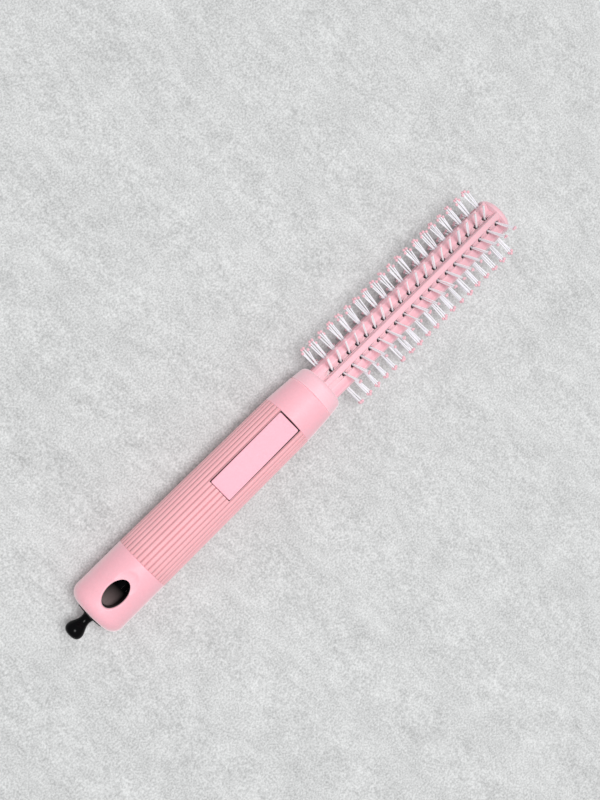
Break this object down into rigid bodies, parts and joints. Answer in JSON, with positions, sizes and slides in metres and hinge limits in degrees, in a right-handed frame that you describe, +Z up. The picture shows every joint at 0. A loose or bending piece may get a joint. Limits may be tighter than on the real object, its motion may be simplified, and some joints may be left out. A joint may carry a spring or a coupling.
{
  "type": "round styling hair brush",
  "caption": "Roller brush for styling hair: ribbed barrel with rows of ball-tipped nylon tufts, grooved soft-grip handle with an oval eye and a pull-out sectioning pick.",
  "frame": {"origin": "on the brush axis, midway between the end of the pick's knob and the tip of the barrel", "axes": "+X along the brush from the handle to the barrel's tip, +Z up out of the name plate and the top of the eye, +Y to the left when looking from the handle to the tip"},
  "size_m": [0.2496, 0.035, 0.0312],
  "materials": {
    "handle_pink": "satin moulded plastic",
    "grip_pink": "soft-touch rubber, matte",
    "plate_pink": "smooth satin plastic",
    "collar_pink": "satin moulded plastic",
    "barrel_pink": "smooth moulded plastic",
    "white_nylon": "drawn nylon filament, slightly translucent",
    "tip_pink": "dipped ball tips, glossy",
    "black_gloss": "polished black plastic",
    "black_plastic": "satin black plastic",
    "black_rubber": "matte rubber",
    "steel": "drawn steel"
  },
  "bodies": {
    "brush": {"handle_shell": "handle_pink", "grip_sleeve": "grip_pink", "name_plate": "plate_pink", "collar": "collar_pink", "barrel": "barrel_pink", "barrel_plug": "barrel_pink", "cross_pin": "steel", "pick_socket": "black_plastic", "pick_ring": "black_rubber", "bristles_row_1": "white_nylon", "bristles_row_2": "white_nylon", "bristles_row_3": "white_nylon", "bristles_row_4": "white_nylon", "bristles_row_5": "white_nylon", "bristles_row_6": "white_nylon", "tips_row_1": "tip_pink", "tips_row_2": "tip_pink", "tips_row_3": "tip_pink", "tips_row_4": "tip_pink", "tips_row_5": "tip_pink", "tips_row_6": "tip_pink", "anchors_row_1": "steel", "anchors_row_2": "steel", "anchors_row_3": "steel", "anchors_row_4": "steel", "anchors_row_5": "steel", "anchors_row_6": "steel"},
    "pick": {"pick": "black_gloss"}
  },
  "joints": [
    {"name": "pick_slide", "type": "slide", "parent": "brush", "child": "pick", "axis": [-1, 0, 0], "range_m": [0, 0.102]}
  ]
}
